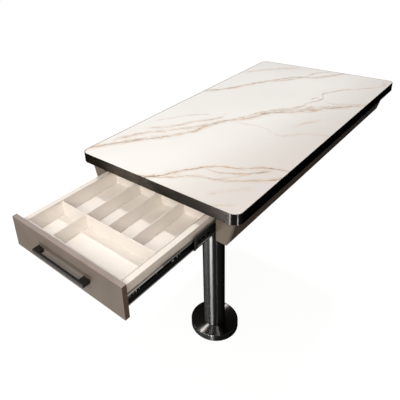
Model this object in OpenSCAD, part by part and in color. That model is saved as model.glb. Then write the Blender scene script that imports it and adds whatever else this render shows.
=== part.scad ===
// Narrow table that reaches out from a wall or counter: a stone top on a slanted apron, a cutlery drawer in its
// free end and one round leg bolted to the floor. The drawer is drawn open.
// The origin is on the leg's axis at floor level. X runs across the table, Y along it away from the drawer, Z up.

/* [Top] */
// Length of the top
top_len = 1078; // [900:1:1400]
// Width of the top
top_w = 550; // [500:1:700]
// Height of the top surface above the floor
table_h = 760; // [700:1:1100]
// Radius of the top's four upright corners
corner_r = 25; // [15:1:40]
// Thickness of the stone slab
stone_t = 12; // [9:1:20]
// Thickness of the board under the stone
core_t = 18; // [15:1:25]
// Thickness of the metal edge band, seen as the dark rim round the stone
band_t = 4; // [2:0.5:6]

/* [Apron] */
// Overhang of the top past each side of the apron
side_overhang = 21; // [10:1:40]
// How far each side board leans in from the top to its lower edge
slant_in = 24; // [10:1:30]
// Width of each stile at its lower edge
stile_w = 31.3; // [28:0.1:40]
// Distance from the top's near edge to the apron's near end
near_setback = 22; // [10:1:60]
// Distance from the top's far edge to the apron's far end
far_setback = 12; // [10:1:30]
// Thickness of the slanted side boards
side_t = 12; // [9:1:15]
// Thickness of the two stiles and the far end board
end_t = 14; // [12:1:20]
// Thickness of the bay cheeks and the cross boards
cheek_t = 12; // [9:1:14]

/* [Leg] */
// Distance from the top's near edge to the leg's axis
leg_setback = 289; // [220:1:330]
// Outer diameter of the leg tube
leg_d = 76; // [60:1:90]
// Wall of the leg tube
leg_wall = 2; // [1.5:0.5:4]
// Diameter of the leg's top plate
head_d = 146; // [130:1:150]
// Thickness of the leg's top plate
head_t = 5; // [4:0.5:8]
// Gap between the floor plate's edge and the inside of its cover
foot_gap = 6; // [2:1:10]
// Thickness of the floor plate
foot_t = 6; // [5:0.5:8]
// Diameter of the circle of floor bolt holes
foot_pcd = 120; // [112:1:126]
// Diameter of each floor bolt hole
foot_hole_d = 11; // [8:0.5:12]
// Diameter of the floor cover
cover_d = 170; // [166:1:200]
// Height of the floor cover
cover_h = 24; // [20:1:30]
// Wall of the floor cover
cover_wall = 2; // [1:0.5:3]
// Thickness of the rail that carries the leg under the drawer
rail_t = 12; // [9:0.5:12]
// How far that rail reaches past the leg's top plate, near and far
rail_margin = 2; // [0:1:20]

/* [Drawer] */
// How far the drawer stands open
drawer_open = 315; // [0:5:345]
// Length of the slides, and of the drawer box
slide_len = 350; // [330:10:400]
// Height of the drawer box
box_h = 54; // [50:1:80]
// Distance from the underside of the top down to the box's upper edge
box_drop = 17; // [8:0.5:24]
// Clearance between the box and the leg rail under it
box_clear = 3; // [2:0.5:8]
// Gap behind the box when the drawer is closed
bay_clear = 14; // [8:1:40]
// Thickness of the box's sides and back
box_t = 15; // [12:1:16]
// Thickness of the board behind the decorative front
subfront_t = 12; // [10:1:16]
// Thickness of the bottom panel
bottom_t = 6; // [4:0.5:7]
// Height of the bottom panel above the box's lower edge
bottom_rise = 3.5; // [2:0.5:5]
// Depth of the groove that holds the bottom panel
groove_d = 5; // [3:0.5:8]
// Thickness of the decorative front
front_t = 13; // [10:1:18]
// How far the decorative front reaches below the apron
front_drop = 4; // [0:0.5:10]
// Gap above the front
front_top_gap = 2; // [1:0.5:4]
// Gap at each end of the front when it is closed
front_gap = 1.7; // [1:0.1:3]

/* [Slides] */
// Thickness of a slide, from the box side to the bay cheek
slide_t = 12.7; // [12:0.1:14]
// Height of the cabinet member's lower edge above the box's lower edge
slide_lift = 1; // [0:0.5:4]
// How far a closed slide stands back from the decorative front
slide_inset = 1.5; // [0.5:0.5:4]
// Height of the cabinet member
cabinet_h = 46; // [44:0.5:47]
// Height of the middle member
middle_h = 38; // [36:0.5:39]
// Height of the drawer member
member_h = 29; // [27:0.5:30]
// Thickness of the slides' sheet steel
sheet = 1.2; // [1:0.1:1.5]
// Share of the drawer's travel that the middle members make
middle_share = 0.31; // [0.3:0.01:0.5]
// Length of a ball cage
cage_len = 80; // [60:5:90]
// Number of balls in one row of a cage
cage_balls = 8; // [4:1:12]

/* [Tray] */
// How far the tray's rim lies below the box's upper edge
tray_drop = 1; // [0:0.5:6]
// Thickness of the spacer strip behind the tray
spacer_t = 15; // [6:1:40]
// Thickness of the tray's walls, floor and dividers
tray_wall = 2; // [1.5:0.5:3]
// Clearance round the tray
tray_gap = 1; // [0.5:0.25:1.5]
// Clear depth of the front row of compartments
front_row = 104; // [80:1:130]
// Clear width of the left-hand compartments
left_row = 96; // [70:1:120]
// Number of equal long compartments beside the left-hand one
equal_rows = 3; // [2:1:4]

/* [Handle] */
// Overall length of the handle
handle_len = 188; // [140:1:240]
// How far the handle stands out from the front
handle_out = 20; // [16:1:30]
// Height of the handle's square bar
handle_h = 10; // [8:0.5:14]
// Thickness of the bar
handle_bar_t = 6; // [5:0.5:9]
// Width of each handle post
post_w = 20; // [12:1:24]

/* [Fasteners] */
// Diameter of the wood screws
screw_d = 4; // [3:0.1:4.5]
// Diameter of the wood screws' heads
screw_head_d = 7.5; // [6.5:0.1:8]
// Length of the slides' wood screws
slide_screw_len = 10; // [8:0.5:11]
// Length of the wood screws in the top and the leg rail
board_screw_len = 11; // [8:0.5:12]
// Diameter of the machine screws of the handle and the front
bolt_d = 4; // [3:0.5:5]
// Diameter of the machine screws' heads
bolt_head_d = 8; // [7:0.5:9]
// Leg length of the angle brackets
angle_leg = 26; // [22:1:30]
// Thickness of the angle brackets
angle_t = 2; // [1.5:0.5:3]
// Width of the angle brackets
angle_w = 20; // [16:1:24]
// Distance of the angle brackets from the inside of the side boards, at their lower edge
bracket_inset = 34; // [20:1:60]
// How far the front's screws stay from the box's upper edge and from the bottom panel
front_screw_edge = 10; // [7:0.5:16]
// Depth of thread in the decorative front
front_bite = 8; // [6:0.5:9]
// Depth of thread in the handle's posts
handle_bite = 10; // [6:0.5:12]
// Distance across the table between the wall bolt holes
wall_hole_x = 320; // [200:5:360]
// Distance in height between the wall bolt holes
wall_hole_z = 40; // [30:1:50]
// Diameter of the wall bolt holes
wall_hole_d = 9; // [7:0.5:11]

/* [Hidden] */
$fn = 64;

// Small clearance between a screw or a round piece and its hole
fit = 0.1;
// Clearance round the stone and the board inside the edge band
stone_gap = 0.2;

// Heights
top_under = table_h - stone_t - core_t;
apron_h = box_drop + box_h + box_clear + rail_t;
apron_low = top_under - apron_h;
rail_top = apron_low + rail_t;
box_top = top_under - box_drop;
box_low = box_top - box_h;
panel_low = box_low + bottom_rise;
panel_top = panel_low + bottom_t;
front_top = top_under - front_top_gap;
front_low = apron_low - front_drop;
front_mid = (front_top + front_low) / 2;
slide_z = box_low + slide_lift + cabinet_h / 2;

// Places along the table
top_near = -leg_setback;
top_far = top_near + top_len;
apron_near = top_near + near_setback;
apron_far = top_far - far_setback;
closed_back = apron_near + front_t;
front_face = apron_near - drawer_open;
box_near = front_face + front_t;
box_far = box_near + slide_len;
slide_near = closed_back + slide_inset;
bay_far = closed_back + slide_len + bay_clear;
bay_cross_far = bay_far + cheek_t;
middle_cross_near = (bay_cross_far + apron_far) / 2;

// Places across the table: the drawer box takes what the apron and the slides leave
apron_top_w = top_w - 2 * side_overhang;
apron_bottom_w = apron_top_w - 2 * slant_in;
opening_w = apron_bottom_w - 2 * stile_w;
box_w = opening_w - 2 * slide_t;
front_w = opening_w - 2 * front_gap;
box_half = box_w / 2;
cheek_in = opening_w / 2;
inner_half = box_half - box_t;
tray_half = inner_half - tray_gap;
side_across = side_t * sqrt(1 + pow(slant_in / apron_h, 2));

// Travel of the pieces inside a slide, as shares of the drawer's own
outer_cage_share = middle_share / 2;
inner_cage_share = (middle_share + 1) / 2;
middle_near = slide_near - drawer_open * middle_share;
outer_cage_start = slide_len / 3;
inner_cage_start = slide_len * 0.38;
outer_cage_near = slide_near + outer_cage_start - drawer_open * outer_cage_share;
inner_cage_near = slide_near + inner_cage_start - drawer_open * inner_cage_share;
member_near = slide_near - drawer_open;

// Gap between a member's web and the web beside it
running = 0.6;
// How much shorter the moving members are than the cabinet member
middle_short = 2;
member_short = 4;
// Profiles of the slide members, measured from the box side towards the cheek
cabinet_web = slide_t - sheet;
middle_web = cabinet_web - running - sheet;
middle_tip = 2.6;
cabinet_tip = 2;
member_tip = 7.4;
outer_gap = (cabinet_h - middle_h) / 2 - sheet;
inner_gap = (middle_h - member_h) / 2 - sheet;
// Clearance between a ball and each race
race_gap = 0.3;
// Holes and slots in the webs, placed from each member's near end
middle_slot_d = 6.5;
middle_slots = [19, 35, 55, slide_len / 2, slide_len - 60, slide_len - 30];
member_hole_d = 3.4;
member_round_holes = [[18.5, 6], [40.5, member_hole_d], [174.5, member_hole_d]];
member_tall_slots = [31.5, 166];
member_long_slots = [150.5];
tall_slot_run = 4;
long_slot_run = 6;

// Tray
tray_near = box_near + subfront_t + tray_gap;
tray_far = box_far - box_t - spacer_t - tray_gap;
tray_top = box_top - tray_drop;
tray_floor = panel_top + tray_wall;
cross_near = tray_near + tray_wall + front_row;
tray_in = tray_half - tray_wall;
equal_w = (2 * tray_in - left_row - equal_rows * tray_wall) / equal_rows;
// How far the dividers stop below the tray's rim
rim_step = 0.5;
divider_top = tray_top - rim_step;
// Small screw in the cross divider
tray_screw_side = 16;
tray_screw_up = 9;
tray_screw_d = 2;
tray_head_d = 3.2;
tray_head_t = 0.8;

// Leg
foot_d = cover_d - 2 * cover_wall - 2 * foot_gap;
rail_len = head_d + 2 * rail_margin;

// Margin of the wall batten inside the apron's section
batten_inset = 10;

// Fastener places
cabinet_screw_inset = 32;
cabinet_screw_ys = [
    slide_near + cabinet_screw_inset,
    slide_near + slide_len / 2,
    slide_near + slide_len - cabinet_screw_inset
];
// The middle screw of the drawer member stands clear of the member's own slots
member_screw_inset = 60;
member_screw_shift = 30;
member_screw_ys = [
    member_near + member_screw_inset,
    member_near + slide_len / 2 + member_screw_shift,
    member_near + slide_len - member_screw_inset
];
head_screw_r = (head_d + leg_d) / 4;
post_x = handle_len / 2 - post_w / 2;
front_screw_inset = 24;
front_screw_x = inner_half - front_screw_inset;
bracket_xs = [-1, 1] * (apron_bottom_w / 2 - side_across - bracket_inset);
bracket_ys = [bay_cross_far, middle_cross_near + cheek_t];

// Box between two opposite corners
module block(from, to) {
    translate(from)
        cube(to - from);
}

// Rectangle with round corners, centred across the table and running from the near edge
module rounded_rect(w, near, far, r) {
    translate([-w / 2 + r, near])
        square([w - 2 * r, far - near]);
    translate([-w / 2, near + r])
        square([w, far - near - 2 * r]);
    for (x = [-1, 1] * (w / 2 - r), y = [near + r, far - r])
        translate([x, y])
            circle(r);
}

// The same rectangle, drawn in by a margin
module top_outline(margin) {
    rounded_rect(top_w - 2 * margin, top_near + margin, top_far - margin, corner_r - margin);
}

// One length of the edge band between two places along the table
module band_length(from, to, left = -top_w, right = top_w) {
    translate([0, 0, top_under])
        linear_extrude(table_h - top_under)
            intersection() {
                difference() {
                    top_outline(0);
                    top_outline(band_t);
                }
                translate([left, from])
                    square([right - left, to - from]);
            }
}

// Solid whose outline lies across the table (x, z), between two places along it
module across(from, to) {
    translate([0, to, 0])
        rotate([90, 0, 0])
            linear_extrude(to - from)
                children();
}

// Countersunk screw along -Z with its head flush at the origin
module screw(length, d, head_d, grow = 0) {
    head_h = (head_d - d) / 2;
    translate([0, 0, -length - grow])
        cylinder(d = d + 2 * grow, h = length + grow);
    translate([0, 0, -head_h])
        cylinder(d1 = d + 2 * grow, d2 = head_d + 2 * grow, h = head_h);
}

module wood_screw(length, grow = 0) {
    screw(length, screw_d, screw_head_d, grow);
}

// Top

module stone_top() {
    color("#EFE9E2")
        translate([0, 0, table_h - stone_t])
            linear_extrude(stone_t)
                top_outline(band_t + stone_gap);
}

module top_core() {
    color("#A58F74")
        difference() {
            translate([0, 0, top_under])
                linear_extrude(core_t)
                    top_outline(band_t + stone_gap);
            angle_core_screws(fit);
        }
}

module edge_band_near() {
    color("#1C1B1A")
        band_length(top_near, top_near + corner_r);
}

module edge_band_far() {
    color("#1C1B1A")
        band_length(top_far - corner_r, top_far);
}

module edge_band_left() {
    color("#1C1B1A")
        band_length(top_near + corner_r, top_far - corner_r, right = 0);
}

module edge_band_right() {
    color("#1C1B1A")
        band_length(top_near + corner_r, top_far - corner_r, left = 0);
}

// Apron

// Half the apron's outer width at a height
function apron_x(z) = apron_bottom_w / 2 + slant_in * (z - apron_low) / apron_h;

// Board that fills the apron from slanted side to slanted side
module full_board(from, to, low, high, inset) {
    across(from, to)
        polygon([
            [inset - apron_x(low), low],
            [apron_x(low) - inset, low],
            [apron_x(high) - inset, high],
            [inset - apron_x(high), high]
        ]);
}

module apron_side() {
    color("#5F544B")
        across(apron_near + end_t, apron_far - end_t)
            polygon([
                [apron_x(apron_low) - side_across, apron_low],
                [apron_x(apron_low), apron_low],
                [apron_x(top_under), top_under],
                [apron_x(top_under) - side_across, top_under]
            ]);
}

module end_stile() {
    color("#5F544B")
        across(apron_near, apron_near + end_t)
            polygon([
                [cheek_in, apron_low],
                [apron_x(apron_low), apron_low],
                [apron_x(top_under), top_under],
                [cheek_in, top_under]
            ]);
}

// Four wall bolts' holes through whatever stands at the far end
module wall_holes() {
    for (x = [-1, 1] * wall_hole_x / 2, z = [-1, 1] * wall_hole_z / 2)
        translate([x, top_far + 1, (apron_low + top_under) / 2 + z])
            rotate([90, 0, 0])
                cylinder(d = wall_hole_d, h = far_setback + end_t + 2);
}

module apron_end_far() {
    color("#5F544B")
        difference() {
            full_board(apron_far - end_t, apron_far, apron_low, top_under, 0);
            wall_holes();
        }
}

module wall_batten() {
    color("#A58F74")
        difference() {
            block(
                [batten_inset - apron_bottom_w / 2, apron_far, apron_low + batten_inset],
                [apron_bottom_w / 2 - batten_inset, top_far, top_under]
            );
            wall_holes();
        }
}

module bay_cheek() {
    color("#A58F74")
        difference() {
            block(
                [cheek_in, apron_near + end_t, rail_top],
                [cheek_in + cheek_t, bay_far, top_under]
            );
            cabinet_screws(fit);
        }
}

module bay_cross_rear() {
    color("#A58F74")
        difference() {
            full_board(bay_far, bay_cross_far, rail_top, top_under, side_across);
            angle_board_screws(bracket_ys[0], fit);
        }
}

module middle_cross() {
    color("#A58F74")
        difference() {
            full_board(middle_cross_near, middle_cross_near + cheek_t, rail_top, top_under, side_across);
            angle_board_screws(bracket_ys[1], fit);
        }
}

module leg_rail() {
    color("#A58F74")
        difference() {
            full_board(-rail_len / 2, rail_len / 2, apron_low, rail_top, side_across);
            head_screws(fit);
        }
}

// Brackets stand behind the cross boards, under the core
module angle_bracket() {
    difference() {
        union() {
            block([-angle_w / 2, 0, -angle_leg], [angle_w / 2, angle_t, 0]);
            block([-angle_w / 2, 0, -angle_t], [angle_w / 2, angle_leg, 0]);
        }
        bracket_up_screw(fit);
        bracket_in_screw(fit);
    }
}

module bracket_up_screw(grow = 0) {
    translate([0, angle_leg * 0.6, -angle_t])
        mirror([0, 0, 1])
            wood_screw(board_screw_len, grow);
}

module bracket_in_screw(grow = 0) {
    translate([0, angle_t, -angle_leg * 0.6])
        rotate([-90, 0, 0])
            wood_screw(board_screw_len, grow);
}

module at_brackets(y) {
    for (x = bracket_xs)
        translate([x, y, top_under])
            children();
}

module angle_core_screws(grow = 0) {
    for (y = bracket_ys)
        at_brackets(y)
            bracket_up_screw(grow);
}

module angle_board_screws(y, grow = 0) {
    at_brackets(y)
        bracket_in_screw(grow);
}

module angle_brackets() {
    color("#B8B8B4")
        for (y = bracket_ys)
            at_brackets(y)
                angle_bracket();
}

module angle_screws() {
    color("#C4C2BC") {
        angle_core_screws();
        for (y = bracket_ys)
            angle_board_screws(y);
    }
}

// Leg

// Four screws that hold the leg's top plate under the rail
module head_screws(grow = 0) {
    for (a = [45 : 90 : 315])
        rotate(a)
            translate([head_screw_r, 0, apron_low - head_t])
                mirror([0, 0, 1])
                    wood_screw(board_screw_len + head_t / 2, grow);
}

module leg_head_plate() {
    color("#23211F")
        difference() {
            translate([0, 0, apron_low - head_t])
                cylinder(d = head_d, h = head_t);
            head_screws(fit);
        }
}

module leg_head_screws() {
    color("#C4C2BC")
        head_screws();
}

module leg_tube() {
    color("#2A2826")
        translate([0, 0, foot_t])
            difference() {
                cylinder(d = leg_d, h = apron_low - head_t - foot_t, $fn = 128);
                translate([0, 0, -1])
                    cylinder(d = leg_d - 2 * leg_wall, h = apron_low, $fn = 128);
            }
}

module floor_plate() {
    color("#4A4845")
        difference() {
            cylinder(d = foot_d, h = foot_t);
            for (a = [45 : 90 : 315])
                rotate(a)
                    translate([foot_pcd / 2, 0, -1])
                        cylinder(d = foot_hole_d, h = foot_t + 2);
        }
}

module floor_cover() {
    color("#2A2826")
        rotate_extrude($fn = 128)
            difference() {
                union() {
                    square([cover_d / 2 - cover_wall, cover_h]);
                    square([cover_d / 2, cover_h - cover_wall]);
                    translate([cover_d / 2 - cover_wall, cover_h - cover_wall])
                        circle(cover_wall);
                }
                square([leg_d / 2 + fit, cover_h + 1]);
                square([cover_d / 2 - cover_wall, cover_h - cover_wall]);
            }
}

// Drawer box

// Space that the bottom panel fills, with its edges in the grooves
module panel_space() {
    block(
        [-inner_half - groove_d, box_near + subfront_t - groove_d, panel_low],
        [inner_half + groove_d, box_far - box_t + groove_d, panel_top]
    );
}

module drawer_side() {
    color("#EDE6DC")
        difference() {
            block([inner_half, box_near, box_low], [box_half, box_far, box_top]);
            panel_space();
            member_screws(fit);
        }
}

module drawer_subfront() {
    color("#EDE6DC")
        difference() {
            block([-inner_half, box_near, box_low], [inner_half, box_near + subfront_t, box_top]);
            panel_space();
            front_bolts(fit);
            handle_bolts(fit);
        }
}

module drawer_back() {
    color("#EDE6DC")
        difference() {
            block([-inner_half, box_far - box_t, box_low], [inner_half, box_far, box_top]);
            panel_space();
        }
}

module drawer_bottom() {
    color("#EDE6DC")
        panel_space();
}

module drawer_front() {
    color("#857A70")
        difference() {
            block([-front_w / 2, front_face, front_low], [front_w / 2, box_near, front_top]);
            front_bolts(fit);
            handle_bolts(fit);
        }
}

// Screws from inside the sub-front into the decorative front
module front_bolts(grow = 0) {
    for (x = [-1, 1] * front_screw_x, z = [panel_top + front_screw_edge, box_top - front_screw_edge])
        translate([x, box_near + subfront_t, z])
            rotate([-90, 0, 0])
                screw(subfront_t + front_bite, bolt_d, bolt_head_d, grow);
}

// Screws from inside the sub-front, through the front, into the handle's posts
module handle_bolts(grow = 0) {
    for (x = [-1, 1] * post_x)
        translate([x, box_near + subfront_t, front_mid])
            rotate([-90, 0, 0])
                screw(subfront_t + front_t + handle_bite, bolt_d, bolt_head_d, grow);
}

module front_screws() {
    color("#C4C2BC")
        front_bolts();
}

module handle_screws() {
    color("#C4C2BC")
        handle_bolts();
}

module handle_bar() {
    color("#161616")
        block(
            [-handle_len / 2, front_face - handle_out, front_mid - handle_h / 2],
            [handle_len / 2, front_face - handle_out + handle_bar_t, front_mid + handle_h / 2]
        );
}

module handle_posts() {
    color("#161616")
        difference() {
            for (x = [-1, 1] * post_x)
                block(
                    [x - post_w / 2, front_face - handle_out + handle_bar_t, front_mid - handle_h / 2],
                    [x + post_w / 2, front_face, front_mid + handle_h / 2]
                );
            handle_bolts(fit);
        }
}

// Slides

// Places a right-hand slide piece whose x is measured from the box side towards the cheek
module on_slide(near) {
    translate([box_half, near, slide_z])
        children();
}

// Channel along the table: a web between two x values with flanges towards one tip
module channel(web_from, web_to, tip, height, length) {
    block([web_from, 0, -height / 2], [web_to, length, height / 2]);
    for (side = [0, 1])
        mirror([0, 0, side])
            block([min(tip, web_from), 0, height / 2 - sheet], [max(tip, web_to), length, height / 2]);
}

// Round hole through a web
module round_hole(y, d) {
    translate([-1, y, 0])
        rotate([0, 90, 0])
            cylinder(d = d, h = slide_t + 2);
}

// Slot through a web, stretched along the table
module long_slot(y, d, run) {
    round_hole(y - run / 2, d);
    round_hole(y + run / 2, d);
    block([-1, y - run / 2, -d / 2], [slide_t + 1, y + run / 2, d / 2]);
}

// Slot through a web, stretched in height
module tall_slot(y, d, run) {
    for (z = [-1, 1] * run / 2)
        translate([0, 0, z])
            round_hole(y, d);
    block([-1, y - d / 2, -run / 2], [slide_t + 1, y + d / 2, run / 2]);
}

module cabinet_screws(grow = 0) {
    for (y = cabinet_screw_ys)
        translate([box_half + cabinet_web, y, slide_z])
            rotate([0, -90, 0])
                wood_screw(slide_screw_len, grow);
}

module member_screws(grow = 0) {
    for (y = member_screw_ys)
        translate([box_half + sheet, y, slide_z])
            rotate([0, 90, 0])
                wood_screw(slide_screw_len, grow);
}

module slide_cabinet() {
    color("#1E1E1E")
        difference() {
            on_slide(slide_near)
                channel(cabinet_web, slide_t, cabinet_tip, cabinet_h, slide_len);
            cabinet_screws(fit);
        }
}

module slide_middle() {
    color("#262626")
        on_slide(middle_near)
            difference() {
                channel(middle_web, middle_web + sheet, middle_tip, middle_h, slide_len - middle_short);
                for (y = middle_slots)
                    long_slot(y, middle_slot_d, middle_slot_d);
            }
}

module slide_member() {
    color("#202020")
        difference() {
            on_slide(member_near)
                difference() {
                    channel(0, sheet, member_tip, member_h, slide_len - member_short);
                    for (hole = member_round_holes)
                        round_hole(hole[0], hole[1]);
                    for (y = member_tall_slots)
                        tall_slot(y, member_hole_d, tall_slot_run);
                    for (y = member_long_slots)
                        long_slot(y, member_hole_d, long_slot_run);
                }
            member_screws(fit);
        }
}

// Two rows of balls, each held in a thin strip between two races
module ball_cage(gap, height, from, to) {
    ball_d = gap - 2 * race_gap;
    for (side = [0, 1])
        mirror([0, 0, side])
            translate([0, 0, height / 2 + gap / 2]) {
                block([from, 0, -ball_d / 6], [to, cage_len, ball_d / 6]);
                for (i = [0 : cage_balls - 1])
                    translate([(from + to) / 2, cage_len * (i + 0.5) / cage_balls, 0])
                        sphere(d = ball_d, $fn = 24);
            }
}

module outer_cage() {
    color("#8C8C88")
        on_slide(outer_cage_near)
            ball_cage(outer_gap, middle_h, middle_tip + 0.5, middle_web);
}

module inner_cage() {
    color("#8C8C88")
        on_slide(inner_cage_near)
            ball_cage(inner_gap, member_h, middle_tip + 0.5, member_tip - 0.5);
}

module slide_cabinet_screws() {
    color("#C4C2BC")
        for (side = [0, 1])
            mirror([side, 0, 0])
                cabinet_screws();
}

module slide_member_screws() {
    color("#C4C2BC")
        for (side = [0, 1])
            mirror([side, 0, 0])
                member_screws();
}

// Tray

module tray_shell() {
    color("#F2ECE2")
        difference() {
            block([-tray_half, tray_near, panel_top], [tray_half, tray_far, tray_top]);
            block([-tray_in, tray_near + tray_wall, tray_floor], [tray_in, tray_far - tray_wall, tray_top + 1]);
        }
}

module tray_cross_divider() {
    color("#F2ECE2")
        difference() {
            block([-tray_in, cross_near, tray_floor], [tray_in, cross_near + tray_wall, divider_top]);
            tray_bolt(fit);
        }
}

// Left-hand wall of the equal compartments
function divider_x(i) = -tray_in + left_row + i * (equal_w + tray_wall);

module tray_front_divider() {
    color("#F2ECE2")
        block([divider_x(0), tray_near + tray_wall, tray_floor], [divider_x(0) + tray_wall, cross_near, divider_top]);
}

module tray_back_dividers() {
    color("#F2ECE2")
        for (i = [0 : equal_rows - 1])
            block(
                [divider_x(i), cross_near + tray_wall, tray_floor],
                [divider_x(i) + tray_wall, tray_far - tray_wall, divider_top]
            );
}

// Small screw through the cross divider, beside the front divider
module tray_bolt(grow = 0) {
    translate([divider_x(0) + tray_wall + tray_screw_side, cross_near, tray_floor + tray_screw_up])
        rotate([90, 0, 0]) {
            cylinder(d = tray_head_d, h = tray_head_t);
            translate([0, 0, -tray_wall])
                cylinder(d = tray_screw_d + 2 * grow, h = tray_wall);
        }
}

module tray_screw() {
    color("#B9B2A6")
        tray_bolt();
}

module tray_spacer() {
    color("#EDE6DC")
        block([-inner_half, tray_far + tray_gap, panel_top], [inner_half, box_far - box_t, box_top]);
}

module left_hand() {
    mirror([1, 0, 0])
        children();
}

stone_top();
top_core();
edge_band_near();
edge_band_far();
edge_band_left();
edge_band_right();
left_hand() apron_side();  // apron_side_left
apron_side();  // apron_side_right
left_hand() end_stile();  // end_stile_left
end_stile();  // end_stile_right
apron_end_far();
wall_batten();
left_hand() bay_cheek();  // bay_cheek_left
bay_cheek();  // bay_cheek_right
bay_cross_rear();
middle_cross();
leg_rail();
angle_brackets();
angle_screws();
leg_head_plate();
leg_head_screws();
leg_tube();
floor_plate();
floor_cover();
left_hand() slide_cabinet();  // slide_cabinet_left
slide_cabinet();  // slide_cabinet_right
slide_cabinet_screws();
left_hand() slide_middle();  // slide_middle_left
slide_middle();  // slide_middle_right
left_hand() outer_cage();  // outer_cage_left
outer_cage();  // outer_cage_right
left_hand() inner_cage();  // inner_cage_left
inner_cage();  // inner_cage_right
left_hand() slide_member();  // slide_member_left
slide_member();  // slide_member_right
slide_member_screws();
drawer_front();
drawer_subfront();
left_hand() drawer_side();  // drawer_side_left
drawer_side();  // drawer_side_right
drawer_back();
drawer_bottom();
front_screws();
handle_bar();
handle_posts();
handle_screws();
tray_shell();
tray_cross_divider();
tray_front_divider();
tray_back_dividers();
tray_screw();
tray_spacer();
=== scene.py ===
import math
import bmesh
import bpy
from mathutils import Matrix, Vector


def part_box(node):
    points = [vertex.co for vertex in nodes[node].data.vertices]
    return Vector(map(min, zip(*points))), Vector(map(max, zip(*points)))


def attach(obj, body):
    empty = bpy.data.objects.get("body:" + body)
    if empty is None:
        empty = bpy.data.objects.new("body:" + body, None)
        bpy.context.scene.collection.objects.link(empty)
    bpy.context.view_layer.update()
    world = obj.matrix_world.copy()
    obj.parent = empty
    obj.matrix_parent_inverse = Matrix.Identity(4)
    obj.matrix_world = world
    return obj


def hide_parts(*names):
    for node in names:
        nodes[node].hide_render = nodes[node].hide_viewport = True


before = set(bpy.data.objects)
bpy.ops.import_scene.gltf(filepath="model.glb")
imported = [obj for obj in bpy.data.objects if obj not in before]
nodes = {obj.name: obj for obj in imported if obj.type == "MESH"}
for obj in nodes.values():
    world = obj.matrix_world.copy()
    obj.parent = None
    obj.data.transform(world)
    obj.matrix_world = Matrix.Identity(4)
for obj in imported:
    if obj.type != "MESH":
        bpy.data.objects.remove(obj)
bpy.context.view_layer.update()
scene = bpy.context.scene

# Looks of a narrow stone-topped restaurant table with its cutlery drawer drawn open.
# Sizes are the solids' own, apart from the small shaping noted at each group of pieces.

MM = 0.001


def colour(code):
    """An sRGB hex colour as the linear colour that the shaders take."""
    parts = [int(code[i:i + 2], 16) / 255 for i in (1, 3, 5)]
    return [p / 12.92 if p <= 0.04045 else ((p + 0.055) / 1.055) ** 2.4 for p in parts] + [1.0]


def add(tree, kind, inputs=None, **settings):
    """Adds a node: settings are its properties, inputs are values or links by socket name or number."""
    node = tree.nodes.new(kind)
    for name, value in settings.items():
        setattr(node, name, value)
    for name, value in (inputs or {}).items():
        if isinstance(value, bpy.types.NodeSocket):
            tree.links.new(value, node.inputs[name])
        else:
            node.inputs[name].default_value = value
    return node


def per(size_mm):
    """Texture scale whose features are about this many millimetres across."""
    return 1 / (size_mm * MM)


def emptied(owner):
    """The node tree of a material or world, with nothing in it."""
    owner.use_nodes = True
    owner.node_tree.nodes.clear()
    return owner.node_tree


def start(name, values):
    """A material with these values on its shader. Gives material, tree, shader and the place on the piece."""
    made = bpy.data.materials.new(name)
    tree = emptied(made)
    shader = add(tree, "ShaderNodeBsdfPrincipled", values)
    add(tree, "ShaderNodeOutputMaterial", {"Surface": shader.outputs[0]})
    place = add(tree, "ShaderNodeTexCoord").outputs["Object"]
    return made, tree, shader, place


def mottle(tree, place, size_mm, detail=4.0, rough=0.55, stretch=(1, 1, 1)):
    """Soft random pattern from 0 to 1 at a real size, stretched along an axis where asked."""
    scaled = add(tree, "ShaderNodeMapping", {"Vector": place, "Scale": stretch}).outputs[0]
    noise = add(tree, "ShaderNodeTexNoise",
                {"Vector": scaled, "Scale": per(size_mm), "Detail": detail, "Roughness": rough})
    return noise.outputs[0]


def blend(tree, amount, first, second):
    """Colour that goes from the first to the second as the amount goes from 0 to 1."""
    return add(tree, "ShaderNodeMix", {0: amount, 6: first, 7: second}, data_type="RGBA").outputs[2]


def span(tree, value, low, high, to_low=0.0, to_high=1.0, soft=False):
    """A value's range from low to high, mapped to another range and held there."""
    return add(tree, "ShaderNodeMapRange",
               {"Value": value, "From Min": low, "From Max": high, "To Min": to_low, "To Max": to_high},
               interpolation_type="SMOOTHSTEP" if soft else "LINEAR").outputs[0]


def sums(tree, kind, a, b=0.0, c=0.0):
    """One step of arithmetic between values."""
    return add(tree, "ShaderNodeMath", {0: a, 1: b, 2: c}, operation=kind).outputs[0]


def times(tree, a, b):
    """Product of two values."""
    return sums(tree, "MULTIPLY", a, b)


def surface(tree, shader, tone, grain, low, high):
    """Gives the shader its colour, and a roughness that follows the grain from low to high."""
    tree.links.new(tone, shader.inputs["Base Color"])
    tree.links.new(span(tree, grain, 0.3, 0.7, low, high), shader.inputs["Roughness"])


def relief(tree, shader, height, depth_mm, strength):
    """Gives the shader a bump of this real depth."""
    bump = add(tree, "ShaderNodeBump", {"Height": height, "Distance": depth_mm * MM, "Strength": strength})
    tree.links.new(bump.outputs[0], shader.inputs["Normal"])


# Stone

# Direction in which the veins run on the top
VEIN_ANGLE = math.radians(54)
RUN = (math.cos(VEIN_ANGLE), math.sin(VEIN_ANGLE))
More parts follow.
